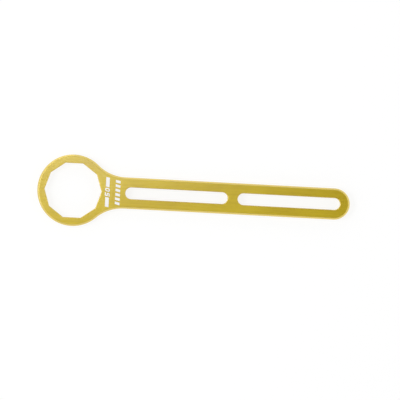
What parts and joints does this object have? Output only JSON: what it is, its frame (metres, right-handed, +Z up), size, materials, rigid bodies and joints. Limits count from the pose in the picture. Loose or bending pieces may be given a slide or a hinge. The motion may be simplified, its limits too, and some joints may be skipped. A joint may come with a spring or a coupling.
{
  "type": "fork cap wrench",
  "caption": "Flat anodised aluminium ring wrench with a polygonal opening, a slotted handle and chamfered edges, for turning the cap of a motorcycle fork leg.",
  "frame": {"origin": "under the middle of the overall length, on the plane that the plate lies on", "axes": "+X along the handle towards its free end, with the ring at -X; +Z up through the plate's thickness; +Y across the handle"},
  "size_m": [0.2902, 0.0662, 0.008],
  "materials": {
    "gold_anodised_aluminium": "satin gold anodising",
    "white_paint_fill": "matte white paint"
  },
  "bodies": {
    "root": {"wrench_plate": "gold_anodised_aluminium", "mark_bar_left": "white_paint_fill", "mark_digit_five": "white_paint_fill", "mark_digit_zero": "white_paint_fill", "mark_bar_right": "white_paint_fill", "mark_tick_1": "white_paint_fill", "mark_tick_2": "white_paint_fill", "mark_tick_3": "white_paint_fill", "mark_tick_4": "white_paint_fill", "mark_tick_5": "white_paint_fill", "mark_tick_6": "white_paint_fill"}
  },
  "joints": []
}
